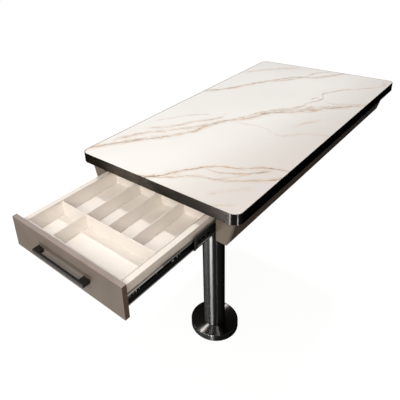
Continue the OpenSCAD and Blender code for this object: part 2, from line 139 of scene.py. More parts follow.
# Guide lines of the veins, in millimetres on the top. Each has the width of its soft halo and of its thin
# line, the strength of both, and over how many millimetres it fades in and out.
VEINS = [
    ([(-265, 600), (-200, 679), (-100, 769)], 24, 2.2, 0.6, 0.35, 60, 40),
    ([(-275, 329), (-200, 414), (-155, 499), (-110, 574), (-65, 634), (-10, 669), (35, 704), (75, 769)],
     20, 3, 0.85, 0.9, 0, 0),
    ([(-115, 554), (-63, 607), (-20, 693), (2, 745), (65, 762)], 10, 2.2, 0.8, 0.5, 30, 20),
    ([(70, 309), (90, 350), (100, 379), (105, 419), (130, 469), (115, 529), (125, 559), (155, 604),
      (205, 649), (250, 704), (245, 760)], 9, 2.4, 0.9, 0.55, 60, 30),
    ([(103, 455), (113, 482), (143, 466), (180, 456), (221, 483), (270, 497)], 9, 2.2, 0.8, 0.45, 20, 20),
    ([(113, 363), (132, 392), (168, 396), (198, 438)], 9, 2.2, 0.8, 0.5, 20, 25),
    ([(215, 737), (240, 712), (249, 752)], 7, 2, 0.6, 0.4, 10, 10),
    ([(-275, -261), (-215, -166), (-175, -121), (-130, -61), (-95, -1), (-70, 69), (-40, 139), (5, 199),
      (40, 269), (95, 314), (145, 369), (185, 414), (225, 454), (275, 504)], 22, 3.2, 0.95, 0.9, 0, 0),
    ([(-245, -171), (-200, -81), (-150, -20), (-105, 40), (-70, 100)], 18, 2.4, 0.8, 0.4, 40, 50),
    ([(-240, 11), (-204, 58), (-174, 105), (-143, 141), (-106, 148)], 8, 2, 0.45, 0.3, 30, 20),
    ([(-215, -46), (-172, -3), (-137, 50), (-110, 98), (-91, 123), (-80, 179)], 16, 2.2, 0.75, 0.35, 40, 40),
    ([(-38, 153), (-5, 213), (25, 281), (67, 332), (96, 379)], 12, 2.2, 0.8, 0.5, 30, 30),
    ([(15, 229), (45, 289), (110, 350), (170, 420), (245, 479)], 12, 2.4, 0.6, 0.6, 40, 20),
    ([(-5, -271), (35, -221), (75, -161), (120, -121), (165, -96), (215, -61), (275, -36)],
     14, 3, 0.8, 0.95, 0, 0),
    ([(97, -154), (123, -154), (167, -129), (210, -93), (233, -71)], 9, 2.2, 0.8, 0.5, 20, 25),
    ([(-35, -286), (35, -246), (95, -201), (150, -181), (205, -146), (270, -96)], 14, 2.6, 0.8, 0.65, 0, 0),
    ([(150, -181), (190, -120), (235, -66)], 9, 2.2, 0.6, 0.3, 25, 25),
    ([(165, -248), (189, -218), (231, -174)], 16, 2, 0.35, 0.15, 25, 25),
    ([(205, -288), (224, -264), (250, -252)], 12, 2, 0.45, 0.3, 10, 15),
    ([(155, 209), (172, 250), (199, 314)], 16, 2, 0.5, 0.15, 25, 25),
    ([(-5, 144), (80, 155), (165, 134), (205, 184), (275, 209)], 14, 2.4, 0.35, 0.25, 40, 0),
]
# Stretches of the veins, along their run, whose middle is grey instead of brown
GREY_STRETCHES = [(-330, -200), (10, 120), (190, 300), (400, 520), (395, 540)]
GREY_FADE = 30
# Sizes in millimetres at which the veins waver, and how far
WAVES = ((110, 10), (32, 7), (9, 2.4))
# Strands inside a halo: how long they are, how much longer than wide, and how thin
STRAND_MM = 75
STRAND_SHAPE = 7.0
STRAND_EDGE = 0.035


def vein(tree, along, across, path, halo, line, fade_in, fade_out):
    """Soft halo, fine strands in it and a thin middle line round one guide line, each from 0 to 1."""
    us = [x * RUN[0] + y * RUN[1] for x, y in path]
    vs = [y * RUN[0] - x * RUN[1] for x, y in path]
    low, high = min(vs) - 1, max(vs) + 1
    progress = span(tree, along, us[0], us[-1])
    bend = add(tree, "ShaderNodeFloatCurve", {"Value": progress})
    curve = bend.mapping.curves[0]
    for u, v in zip(us[1:-1], vs[1:-1]):
        curve.points.new((u - us[0]) / (us[-1] - us[0]), (v - low) / (high - low))
    curve.points[0].location = (0, (vs[0] - low) / (high - low))
    curve.points[-1].location = (1, (vs[-1] - low) / (high - low))
    bend.mapping.update()
    centre = sums(tree, "MULTIPLY_ADD", bend.outputs[0], high - low, low)
    off = sums(tree, "SUBTRACT", across, centre)
    aside = sums(tree, "ABSOLUTE", off)
    soft = span(tree, aside, 0, halo, 1, 0, soft=True)
    thin = span(tree, aside, 0, line, 1, 0, soft=True)
    narrowed = times(tree, off, STRAND_SHAPE)
    flow = add(tree, "ShaderNodeCombineXYZ", {0: along, 1: narrowed, 2: us[0] + vs[0]})
    ripple = add(tree, "ShaderNodeTexNoise", {"Vector": flow.outputs[0], "Scale": 1 / STRAND_MM,
                                              "Detail": 5.0, "Roughness": 0.6}).outputs[0]
    from_middle = sums(tree, "ABSOLUTE", sums(tree, "SUBTRACT", ripple, 0.5))
    ridge = span(tree, from_middle, 0, STRAND_EDGE, 1, 0, soft=True)
    strand = times(tree, ridge, soft)
    parts = [soft, strand, thin]
    for end, fade, levels in ((us[0], fade_in, (0, 1)), (us[-1], fade_out, (1, 0))):
        if fade:
            shown = span(tree, along, end - fade / 2, end + fade / 2, *levels, soft=True)
            parts = [times(tree, part, shown) for part in parts]
    return parts


def sintered_stone():
    """Sintered stone slab, pressed and polished: warm white body with printed tan and grey marble veins."""
    made, tree, shader, place = start("sintered_stone", {"Specular IOR Level": 0.45})
    mm = add(tree, "ShaderNodeVectorMath", {0: place, "Scale": 1 / MM}, operation="SCALE").outputs[0]
    wavering = mm
    for size, reach in WAVES:
        noise = add(tree, "ShaderNodeTexNoise", {"Vector": mm, "Scale": 1 / size, "Detail": 2.0})
        swing = add(tree, "ShaderNodeVectorMath", {0: noise.outputs["Color"], 1: (0.5, 0.5, 0.5)},
                    operation="SUBTRACT").outputs[0]
        wavering = add(tree, "ShaderNodeVectorMath", {0: swing, 1: (reach * 2,) * 3, 2: wavering},
                       operation="MULTIPLY_ADD").outputs[0]
    axes = add(tree, "ShaderNodeSeparateXYZ", {0: wavering}).outputs
    along = sums(tree, "MULTIPLY_ADD", axes[0], RUN[0], times(tree, axes[1], RUN[1]))
    across = sums(tree, "MULTIPLY_ADD", axes[1], RUN[0], times(tree, axes[0], -RUN[1]))
    tan, threads, lines = 0.0, 0.0, 0.0
    for path, halo, line, halo_level, line_level, fade_in, fade_out in VEINS:
        soft, strand, thin = vein(tree, along, across, path, halo, line, fade_in, fade_out)
        tan = sums(tree, "MAXIMUM", times(tree, soft, halo_level), tan)
        threads = sums(tree, "MAXIMUM", times(tree, strand, halo_level), threads)
        lines = sums(tree, "MAXIMUM", times(tree, thin, line_level), lines)
    tan = times(tree, tan, span(tree, mottle(tree, place, 26, 6.0, 0.65), 0.38, 0.6, 0.08, 0.8))
    threads = times(tree, threads, span(tree, mottle(tree, place, 34, 4.0), 0.38, 0.58, 0.1, 1.0))
    lines = times(tree, lines, span(tree, mottle(tree, place, 48, 5.0, 0.6), 0.36, 0.54, 0.2, 1.0))
    grey = 0.0
    for low, high in GREY_STRETCHES:
        rise = span(tree, along, low, low + GREY_FADE, soft=True)
        fall = span(tree, along, high - GREY_FADE, high, 1, 0, soft=True)
        grey = sums(tree, "MAXIMUM", times(tree, rise, fall), grey)
    drift = span(tree, mottle(tree, place, 260, 3.0), 0.35, 0.65)
    body = blend(tree, drift, colour("#f9faf9"), colour("#f5f5f4"))
    # Painted shade: the slab's colour darkens a little towards its right side and its far end, standing in
    # for the light falling off there
    side = span(tree, sums(tree, "MULTIPLY_ADD", axes[1], -0.15, axes[0]), -40, 290, soft=True)
    far = span(tree, axes[1], 560, 830, 0, 0.3, soft=True)
    body = blend(tree, sums(tree, "MINIMUM", sums(tree, "ADD", side, far), 1.0), body, colour("#d9d6d3"))
    core = blend(tree, grey, colour("#927864"), colour("#554f4c"))
    veined = blend(tree, tan, body, colour("#dcc0a3"))
    veined = blend(tree, threads, veined, colour("#ab8d74"))
    veined = blend(tree, lines, veined, core)
    surface(tree, shader, veined, mottle(tree, place, 40, 3.0), 0.2, 0.24)
    return made


def brushed(tree, shader, spread):
    """Stretches the gloss along the first axis of the piece's own map, across the brushing lines."""
    along = add(tree, "ShaderNodeTangent", direction_type="UV_MAP", uv_map="run").outputs[0]
    tree.links.new(along, shader.inputs["Tangent"])
    shader.inputs["Anisotropic"].default_value = spread


def anodised_band():
    """Black anodised aluminium band, brushed along its length: near black, with upright streaks of light."""
    made, tree, shader, place = start("anodised_band", {"Metallic": 1.0, "Specular Tint": colour("#1c1b1a")})
    lines = mottle(tree, place, 1.2, 2.0, 0.5, (0.1, 0.1, 1))
    clouds = mottle(tree, place, 55, 2.0)
    tone = blend(tree, span(tree, clouds, 0.4, 0.62), colour("#131211"), colour("#191817"))
    tone = blend(tree, span(tree, lines, 0.35, 0.7, 0, 0.5), tone, colour("#1e1d1c"))
    surface(tree, shader, tone, clouds, 0.3, 0.36)
    brushed(tree, shader, 1.0)
    return made


def laminate(name, dark, light, shine, gloss=0.2, far=None, ior=1.5):
    """Pressed laminate on board: even matt tone with a faint linen grain and slow drifts of colour, with
    painted shade towards the far end where a far colour is given.
    """
    made, tree, shader, place = start(name, {"Specular IOR Level": gloss, "IOR": ior})
    grain = mottle(tree, place, 0.9, 3.0)
    drift = mottle(tree, place, 70, 2.0)
    level = sums(tree, "MULTIPLY_ADD", grain, 0.45, times(tree, drift, 0.55))
    tone = blend(tree, span(tree, level, 0.38, 0.62), colour(dark), colour(light))
    # Painted shade: where a far colour is given, the tone darkens towards the far end, standing in for the
    # lamps' light falling off.
    if far:
        length = add(tree, "ShaderNodeSeparateXYZ", {0: place}).outputs[1]
        tone = blend(tree, span(tree, length, -0.2, 0.6), tone, colour(far))
    surface(tree, shader, tone, grain, shine, shine + 0.12)
    relief(tree, shader, grain, 0.03, 0.35)
    return made


def chipboard():
    """Raw chipboard, pressed from wood chips: straw and brown flakes with open pores."""
    made, tree, shader, place = start("chipboard", {"Roughness": 0.85, "Specular IOR Level": 0.2})
    flakes = add(tree, "ShaderNodeTexVoronoi", {"Vector": place, "Scale": per(2.4), "Randomness": 1.0})
    tint = add(tree, "ShaderNodeSeparateColor", {0: flakes.outputs["Color"]}).outputs[0]
    tone = blend(tree, tint, colour("#8e7454"), colour("#c3a67f"))
    tone = blend(tree, span(tree, mottle(tree, place, 1.2), 0.55, 0.75, 0, 0.5), tone, colour("#6f5941"))
    tree.links.new(tone, shader.inputs["Base Color"])
    relief(tree, shader, flakes.outputs["Distance"], 0.15, 0.5)
    return made


def metal(name, dark, light, rough, size_mm, stretch=(1, 1, 1), tint="#ffffff", depth=0.02, spread=0.0,
          uneven=0.05):
    """Metal surface with fine uneven grain: colour and gloss drift together at a real grain size."""
    made, tree, shader, place = start(name, {"Metallic": 1.0, "Specular Tint": colour(tint)})
    grain = mottle(tree, place, size_mm, 3.0, 0.55, stretch)
    tone = blend(tree, span(tree, grain, 0.3, 0.7), colour(dark), colour(light))
    surface(tree, shader, tone, grain, rough - uneven, rough + uneven)
    if depth:
        relief(tree, shader, grain, depth, 0.3)
    if spread:
        brushed(tree, shader, spread)
    return made


def painted_light_coat(name, dark, light, worn_tone):
    """Lighter grey coat on the slides' top edges, near lips and ribs: painted light for the edges that face
    the light, with random lighter patches of wear.
    """
    made, tree, shader, place = start(name, {"Specular IOR Level": 0.02})
    grain = mottle(tree, place, 1.4, 3.0)
    worn = mottle(tree, place, 18, 3.0)
    tone = blend(tree, span(tree, grain, 0.35, 0.65), colour(dark), colour(light))
    tone = blend(tree, span(tree, worn, 0.5, 0.75, 0, 0.4), tone, colour(worn_tone))
    surface(tree, shader, tone, grain, 0.34, 0.44)
    return made


def moulded_tray():
    """Injection moulded ABS tray: smooth warm cream with a fine spark-eroded grain."""
    made, tree, shader, place = start("moulded_abs", {"IOR": 1.53, "Specular IOR Level": 0.4})
    grain = mottle(tree, place, 0.7, 2.0)
    drift = mottle(tree, place, 45, 2.0)
    tone = blend(tree, drift, colour("#e9e5e0"), colour("#e5e0da"))
    surface(tree, shader, tone, grain, 0.38, 0.48)
    relief(tree, shader, grain, 0.02, 0.3)
    return made


def powder_coat():
    """Powder coated zinc handle: deep black with a fine orange-peel texture."""
    made, tree, shader, place = start("powder_coat", {"Specular IOR Level": 0.2})
    peel = mottle(tree, place, 0.6, 2.0)
    tone = blend(tree, peel, colour("#171615"), colour("#232120"))
    surface(tree, shader, tone, peel, 0.4, 0.52)
    relief(tree, shader, peel, 0.04, 0.5)
    return made


STONE = sintered_stone()
BAND = anodised_band()
GREIGE = laminate("greige_laminate", "#6a6056", "#766b60", 0.5)
# The drawer face has a darker copy of the stiles' greige laminate: painted shade that offsets the front
# lamps, which light the face more than the stiles.
SHADED_FACE_GREIGE = laminate("drawer_face_laminate_painted_shade", "#61574e", "#6c6259", 0.5)
# The apron boards' laminate darkens towards the far end: painted shade.
DARK_LAMINATE = laminate("dark_laminate", "#544b44", "#615851", 0.75, 0.3, "#332e29", 1.1)
EDGE_TAPE = laminate("tan_edge_tape", "#857365", "#917e70", 0.45)
# The drawer front's top edge is given a lighter grey than its face: painted light for the light falling on it
# from above.
LIT_TOP_TAPE = laminate("top_tape_painted_light", "#8c8380", "#9a918d", 0.5)
BROWN_EDGE = laminate("brown_edge_tape", "#54443a", "#625045", 0.5, 0.1)
WHITE_BOARD = laminate("white_melamine", "#e5e0da", "#ebe6e0", 0.4)
CHIPS = chipboard()
TURNED = {"tint": "#1c1b1a", "depth": 0.0, "spread": 1.0, "uneven": 0.01}
BLACK_STEEL = metal("black_turned_steel", "#1a1a1a", "#1e1e1d", 0.3, 2.5, (1, 1, 0.004), **TURNED)
COVER_STEEL = metal("black_turned_cover", "#161514", "#191817", 0.25, 3.0, **TURNED)
PLATE_STEEL = metal("black_painted_plate", "#242220", "#302d2a", 0.45, 1.2)
SLIDE_BLACK = metal("black_zinc", "#171816", "#20211f", 0.4, 1.4, tint="#2a2a28", depth=0.0)
# The next two steels are lighter copies of the slides' black steel: painted highlights on the lips, ridge,
# slot rims and plate.
SLIDE_PAINTED_HIGHLIGHT = metal("slide_painted_highlight", "#4c4b48", "#595855", 0.35, 1.2)
SLIDE_BRIGHT_PAINTED_HIGHLIGHT = metal("lip_painted_highlight", "#807e7a", "#8e8c88", 0.35, 1.2)
SLIDE_WEB = metal("black_zinc_web", "#2b2b29", "#373735", 0.45, 1.4, tint="#4c4c4a", depth=0.0)
# The slides' top edges get a lighter coat: painted light.
SLIDE_TOP_PAINTED_LIGHT = painted_light_coat("slide_top_painted_light", "#2e2e2c", "#3a3a38", "#484846")
BLACK_SCREW = metal("black_phosphate_screw", "#262624", "#33332f", 0.4, 0.8, tint="#4a4a44")
ZINC = metal("bright_zinc", "#a9a8a2", "#c6c4bd", 0.32, 1.5)
CAGE_STEEL = metal("plain_spring_steel", "#7d7d7a", "#999995", 0.3, 1.0)
TRAY = moulded_tray()
HANDLE = powder_coat()

# Shapes


def solid_of(name):
    """Copy of a CAD node's solids, with their loose triangles merged into clean faces."""
    bm = bmesh.new()
    bm.from_mesh(nodes[name].data)
    bmesh.ops.remove_doubles(bm, verts=bm.verts, dist=1e-5)
    bmesh.ops.dissolve_limit(bm, angle_limit=math.radians(0.5), verts=bm.verts, edges=bm.edges)
    return bm


def piece(name, bm, finishes, body, stands_for=(), arris_mm=0.0, rounds=2, sharp=35):
    """Turns a mesh into a finished piece that rides on a body and stands for its CAD nodes."""
    mesh = bpy.data.meshes.new(name)
    bmesh.ops.recalc_face_normals(bm, faces=bm.faces)
    bm.to_mesh(mesh)
    bm.free()
    for finish in finishes:
        mesh.materials.append(finish)
    mesh.shade_smooth()
    mesh.set_sharp_from_angle(angle=math.radians(sharp))
    made = bpy.data.objects.new(name, mesh)
    scene.collection.objects.link(made)
    if arris_mm:
        ease = made.modifiers.new("arris", "BEVEL")
        ease.width = arris_mm * MM
        ease.segments = rounds
        ease.limit_method = "ANGLE"
        ease.angle_limit = math.radians(sharp)
        ease.harden_normals = True
    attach(made, body)
    if stands_for:
        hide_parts(*stands_for)
    return made


def rounded(x0, x1, y0, y1, radius, steps):
    """Points round a rectangle with rounded corners."""
    points = []
    for x, y, first in ((x1 - radius, y1 - radius, 0), (x0 + radius, y1 - radius, 90),
                        (x0 + radius, y0 + radius, 180), (x1 - radius, y0 + radius, 270)):
        for i in range(steps + 1):
            a = math.radians(first + 90 * i / steps)
            points.append((x + radius * math.cos(a), y + radius * math.sin(a)))
    return points


def loft(bm, rings, closed=False, caps=True):
    """Skin between rings of points, capped or joined into a loop, with a map that runs from ring to ring."""
    made = [[bm.verts.new(p) for p in ring] for ring in rings]
    pairs = list(zip(made, made[1:]))
    if closed:
        pairs.append((made[-1], made[0]))
    run = bm.loops.layers.uv.get("run") or bm.loops.layers.uv.new("run")
    here = 0.0
    for a, b in pairs:
        n = len(a)
        there = here + (a[0].co - b[0].co).length
        for i in range(n):
            face = bm.faces.new((a[i], a[(i + 1) % n], b[(i + 1) % n], b[i]))
            for loop, at in zip(face.loops, ((here, i / n), (here, (i + 1) / n), (there, (i + 1) / n),
                                             (there, i / n))):
                loop[run].uv = at
        here = there
    if caps and not closed:
        bm.faces.new(made[0])
        bm.faces.new(made[-1])
    return made


def fill(bm, loops):
    """Flat skin inside the first ring of points, with the other rings as holes."""
    edges = [bm.edges.get((vert, loop[(i + 1) % len(loop)])) for loop in loops for i, vert in enumerate(loop)]
    bmesh.ops.triangle_fill(bm, edges=edges, use_dissolve=False, use_beauty=True)


def turned(profile, steps):
    """Closed ring round the leg's axis, from a profile of radii and heights."""
    angles = [2 * math.pi * i / steps for i in range(steps)]
    bm = bmesh.new()
    loft(bm, [[(r * math.cos(a), r * math.sin(a), z) for a in angles] for r, z in profile], closed=True)
    return bm


# Top. The solids' band is 4 mm thick all the way up. Here it is a thin lip beside the stone, because in the
# photograph the stone reaches almost to the edge.

CORNER = 25 * MM
BAND_T = 4 * MM
BAND_LIP = 2 * MM
STONE_GAP = 0.2 * MM


def top_ring(margin, z):
    """Points round the top at a height, drawn in by a margin."""
    low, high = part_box("edge_band_near")[0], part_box("edge_band_far")[1]
    outline = rounded(low.x + margin, high.x - margin, low.y + margin, high.y - margin, CORNER - margin, 10)
    return [(x, y, z) for x, y in outline]


stone_low, stone_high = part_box("stone_top")
slab = bmesh.new()
loft(slab, [top_ring(BAND_LIP + STONE_GAP, z) for z in (stone_low.z, stone_high.z)])
piece("stone_slab", slab, [STONE], "table", ["stone_top"], 0.6, 3)

band_low, band_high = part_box("edge_band_near")
band = bmesh.new()
profile = ((0, band_low.z), (0, band_high.z), (BAND_LIP, band_high.z), (BAND_LIP, stone_low.z),
           (BAND_T, stone_low.z), (BAND_T, band_low.z))
loft(band, [top_ring(margin, z) for margin, z in profile], closed=True)
edge_band = piece("edge_band", band, [BAND], "table",
                  ["edge_band_near", "edge_band_far", "edge_band_left", "edge_band_right"], 0.8, 3)

# Apron and boards

for side in ("left", "right"):
    piece("apron_board_" + side, solid_of("apron_side_" + side), [DARK_LAMINATE], "table",
          ["apron_side_" + side], 0.5)
    piece("stile_" + side, solid_of("end_stile_" + side), [GREIGE], "table",
          ["end_stile_" + side], 0.5)
piece("far_board", solid_of("apron_end_far"), [DARK_LAMINATE], "table", ["apron_end_far"],
      0.5)

# Drawer. The front's top edge is a lighter grey than its face, painted light for the light from above, with
# brown tapes at its ends and a tan line between its face and the top edge.

FACE_FINISHES = [SHADED_FACE_GREIGE, LIT_TOP_TAPE, BROWN_EDGE, EDGE_TAPE]
FACING = 0.9
TAPE_BEVEL = 1 * MM

face_solid = solid_of("drawer_front")
face_solid.normal_update()
for face in face_solid.faces:
    # Faces that look up get the lighter grey of painted light; the ends get the brown tape.
    if face.normal.z > FACING:
        face.material_index = FACE_FINISHES.index(LIT_TOP_TAPE)
    elif abs(face.normal.x) > FACING:
        face.material_index = FACE_FINISHES.index(BROWN_EDGE)
top_front = [edge for edge in face_solid.edges if len(edge.link_faces) == 2
             and sum(f.normal.y < -FACING for f in edge.link_faces) == 1
             and sum(f.normal.z > FACING for f in edge.link_faces) == 1]
bmesh.ops.bevel(face_solid, geom=top_front, offset=TAPE_BEVEL, segments=1, affect="EDGES",
                material=FACE_FINISHES.index(EDGE_TAPE))
piece("drawer_face", face_solid, FACE_FINISHES, "drawer", ["drawer_front"], 0.5, sharp=50)
for name in ("drawer_side_left", "drawer_side_right", "drawer_subfront", "drawer_back", "tray_spacer"):
    piece(name + "_board", solid_of(name), [WHITE_BOARD], "drawer", [name], 0.5)

# Tray. It is one moulding, rounded at the foot of each cup, and its outside leans in towards the rim.

WALL = 2 * MM
FOOT = 1.5 * MM
CUP_CORNER = 1.5 * MM
CUP_DRAFT = 0.4 * MM
SHELL_CORNER = 2 * MM
# How far the outside leans in, and how far below the rim, in millimetres
LEAN = ((0, 9), (0.8, 6), (1.2, 0.5), (1.4, 0))

tray_low, tray_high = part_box("tray_shell")
cross_low, cross_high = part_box("tray_cross_divider")
front_low, front_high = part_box("tray_front_divider")
left, right = tray_low.x + WALL, tray_high.x - WALL
near, far = tray_low.y + WALL, tray_high.y - WALL
floor_z, rim_z = tray_low.z + WALL, tray_high.z
step = (right - front_high.x - 2 * WALL) / 3
cups = [(left, front_low.x, near, cross_low.y), (front_high.x, right, near, cross_low.y),
        (left, front_low.x, cross_high.y, far)]
for i in range(3):
    x = front_high.x + i * (step + WALL)
    cups.append((x, x + step, cross_high.y, far))


def level_ring(x0, x1, y0, y1, inset, radius, z):
    """Points round a rounded rectangle at a height, drawn in by an inset that also tightens its corners."""
    outline = rounded(x0 + inset, x1 - inset, y0 + inset, y1 - inset, max(radius - inset * 0.3, 0.5 * MM), 5)
    return [(x, y, z) for x, y in outline]


tray = bmesh.new()
rings = []
for lean, z in [(0, tray_low.z)] + [(lean * MM, rim_z - below * MM) for lean, below in LEAN]:
    x0, x1 = tray_low.x + lean, tray_high.x - lean
    rings.append(level_ring(x0, x1, tray_low.y, tray_high.y, 0, SHELL_CORNER, z))
shell = loft(tray, rings, caps=False)
tray.faces.new(shell[0])
mouths = [shell[-1]]
for x0, x1, y0, y1 in cups:
    rings = [level_ring(x0, x1, y0, y1, 0, CUP_CORNER, rim_z)]
    for i in range(6):
        a = math.radians(18 * i)
        rings.append(level_ring(x0, x1, y0, y1, CUP_DRAFT + FOOT * (1 - math.cos(a)), CUP_CORNER,
                                floor_z + FOOT * (1 - math.sin(a))))
    cup = loft(tray, rings, caps=False)
    tray.faces.new(cup[-1])
    mouths.append(cup[0])
fill(tray, mouths)
cutlery_tray = piece("cutlery_tray", tray, [TRAY], "drawer",
                     ["tray_shell", "tray_cross_divider", "tray_front_divider", "tray_back_dividers"], 0.5, 2)

# Handle

piece("handle_rail", solid_of("handle_bar"), [HANDLE], "drawer", ["handle_bar"], 0.8, 3)
piece("handle_feet", solid_of("handle_posts"), [HANDLE], "drawer", ["handle_posts"], 1.2, 3)

# Leg, and its floor cover in two pieces: a skirt with a rounded edge, and a turned disc inside it

TUBE_T = 2 * MM
COVER_T = 2 * MM
EDGE_R = 3 * MM
EDGE_END = 3.3 * MM
BORE_GAP = 0.2 * MM
BORE_CHAMFER = 1 * MM
TUBE_STEPS = 96
COVER_STEPS = 128

tube_low, tube_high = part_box("leg_tube")
leg_r = tube_high.x
tube = turned([(leg_r, tube_low.z), (leg_r, tube_high.z), (leg_r - TUBE_T, tube_high.z),
               (leg_r - TUBE_T, tube_low.z)], TUBE_STEPS)
leg_column = piece("leg_column", tube, [BLACK_STEEL], "table", ["leg_tube"])

cover_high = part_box("floor_cover")[1]
cover_r, cover_z = cover_high.x, cover_high.z
join_r, under_z = cover_r - EDGE_END, cover_z - COVER_T
profile = [(cover_r - COVER_T, 0), (cover_r, 0), (cover_r, cover_z - EDGE_END)]
for i in range(7):
    a = math.radians(15 * i)
    profile.append((cover_r - EDGE_R * (1 - math.cos(a)), cover_z - EDGE_R * (1 - math.sin(a))))
profile += [(join_r, cover_z), (join_r, under_z), (cover_r - COVER_T, under_z - 1 * MM)]
cover_skirt = piece("cover_skirt", turned(profile, COVER_STEPS), [BLACK_STEEL], "table",
                    ["floor_cover"])
bore_r = leg_r + BORE_GAP
profile = [(join_r, under_z), (join_r, cover_z), (bore_r + 1.3 * MM, cover_z),
           (bore_r + BORE_CHAMFER, cover_z), (bore_r, cover_z - BORE_CHAMFER), (bore_r, under_z)]
cover_disc = piece("cover_disc", turned(profile, COVER_STEPS), [COVER_STEEL], "table")

# Slides: rolled steel channels, each a web with slots between two flanges that carry the balls. They follow
# the photograph where the solids are plainer. The drawer member's flanges flare out to lips, its slots sit
# below mid-height, and a small plate is screwed to its near end. The middle member has a near lip, a ridge
# and ribs, and its top flange is narrow until it enters the cabinet member.

SHEET = 1.2 * MM
FLANGE_FROM = 9 * MM
MEMBER_WEB = 6.6 * MM
RACE_HALF = 1.8 * MM
NARROW_FLANGE = 3.2 * MM
NARROW_RUN = 95 * MM
NEAR_LIP = 5 * MM
RIDGE_IN = 12 * MM
RIB_PITCH = 5 * MM
# The drawer member's lips, in millimetres: how far the upper and lower one reach out, and how much further
# the lower one goes down. Over a run from its near end the upper one is painted brighter, a painted
# highlight.
UPPER_LIP, LOWER_LIP, LOWER_BY = 7.8, 9.2, 1
BRIGHT_HIGHLIGHT_RUN = 110 * MM
# Where the lighter finishes are, painted highlights on the drawer member and painted light on the top edges
# of the other channels: above this height on the drawer member's upper lip, up to this far over its foot on
# the lower lip, and this far down from the top of the other channels
UPPER_LIP_FROM, LOWER_LIP_TO, TOP_EDGE = 9 * MM, 2.8 * MM, 1.8 * MM

SLIDE_FINISHES = [SLIDE_BLACK, SLIDE_PAINTED_HIGHLIGHT, SLIDE_TOP_PAINTED_LIGHT, SLIDE_WEB, SLIDE_BRIGHT_PAINTED_HIGHLIGHT]
PLAIN, PAINTED_HIGHLIGHT, TOP_PAINTED_LIGHT, WEB, BRIGHT_PAINTED_HIGHLIGHT = range(len(SLIDE_FINISHES))

# Holes and slots in millimetres: place along and height, width, and how much longer and higher a slot is
MEMBER_SLOTS = [(31.5, -3.2, 3.6, 0, 2.8), (41, -2.8, 3.6), (96, -3.4, 3), (150.5, -4.2, 3.6, 5),
                (166, -3.2, 3.6, 0, 2.8), (175, -2.8, 3.6), (250, -3.4, 3, 5), (318, -2, 6)]
MIDDLE_SLOTS = [(along, 0, 6.5, 6.5) for along in (19, 35, 55, 175, 290, 320)]
# The small plate and its screw head: finish, outline given like a slot, and distances from the web's back
# The plate takes the painted highlight finish.
FITTINGS = [(PAINTED_HIGHLIGHT, (14, -1.5, 7, 15, 2), (1.2, 2.0)), (PLAIN, (17.5, -3, 5), (2.0, 2.6))]

# For each channel: how far outside the drawer's side its web's back is, which way its flanges point, half its
# height and the bend of its corners, in millimetres, and its slots
CHANNELS = {"member": (0, 1, 13.5, 0, MEMBER_SLOTS), "middle": (10.9, -1, 19, 2.2, MIDDLE_SLOTS),
            "cabinet": (12.7, -1, 23, 3.0, [])}
box_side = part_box("drawer_side_right")[1].x


def flange_line(reach, high, bend):
    """Cross-section of a flange with a race in its outside: distances from the web's back, and heights."""
    outside = [(0, FLANGE_FROM)]
    inside = [(SHEET, FLANGE_FROM)]
    r = max(bend - SHEET, 0.3 * MM)
    for i in range(6):
        a = math.radians(18 * i)
        outside.append((bend - bend * math.cos(a), high - bend + bend * math.sin(a)))
        inside.append((SHEET + r - r * math.cos(a), high - SHEET - r + r * math.sin(a)))
    flat = min((reach - bend) / 2 - 0.4 * MM, RACE_HALF)
    for off, dip in ((-1, 0), (-0.7, 0.35), (-0.2, 0.55), (0.2, 0.55), (0.7, 0.35), (1, 0)):
        across = (reach + bend) / 2 + off * flat
        outside.append((across, high - dip * MM * flat / RACE_HALF))
        inside.append((across, high - SHEET))
    outside += [(reach - 0.3 * MM, high), (reach, high - 0.3 * MM)]
    inside += [(reach - 0.2 * MM, high - SHEET), (reach, high - SHEET + 0.2 * MM)]
    return outside + inside[::-1]


def flared_line(reach, high):
    """Cross-section of a flange that slants out from a low web to an upright lip."""
    points = ((0, 6.6), (0.5, 7.4), (5.9, 12.9), (7.0, 13.1), (7.2, high), (reach - 0.3, high),
              (reach, high - 0.3), (reach, high - 4.2), (reach - 0.9, high - 4.2), (5.7, 10.2), (1.6, 6.8),
              (1.2, 6.6))
    return [(s * MM, z * MM) for s, z in points]


def sections(kind, turn, reach, high, bend, y0, y1):
    """Cross-sections of an upper flange (turn 1) or lower flange (turn -1), each with its place along."""
    if kind == "member":
        line = flared_line(UPPER_LIP, high) if turn > 0 else flared_line(LOWER_LIP, high + LOWER_BY)
        return [(y0, line), (y0 + BRIGHT_HIGHLIGHT_RUN, line), (y1, line)]
    whole = flange_line(reach, high * MM, bend * MM)
    if kind == "cabinet":
        return [(y0, whole), (y1, whole)]
    near_reach = NARROW_FLANGE if turn > 0 else reach
    near_line = flange_line(near_reach, high * MM, bend * MM)
    first = flange_line(near_reach, (high - 1) * MM, bend * MM)
    return [(y0, first), (y0 + 1.5 * MM, near_line), (y0 + NARROW_RUN, near_line),
            (y0 + NARROW_RUN + 2 * MM, whole), (y1, whole)]


def flange_finish(kind, level, high, in_bright_run):
    """Finish of a flange's face at this height over the channel's middle."""
    # Top edges of the other channels get painted light. The drawer member's lips get painted highlights,
    # brighter near its front.
    if kind != "member":
        return TOP_PAINTED_LIGHT if level > high * MM - TOP_EDGE else WEB
    if level > UPPER_LIP_FROM:
        return BRIGHT_PAINTED_HIGHLIGHT if in_bright_run else PAINTED_HIGHLIGHT
    return PAINTED_HIGHLIGHT if level < LOWER_LIP_TO - high * MM else PLAIN


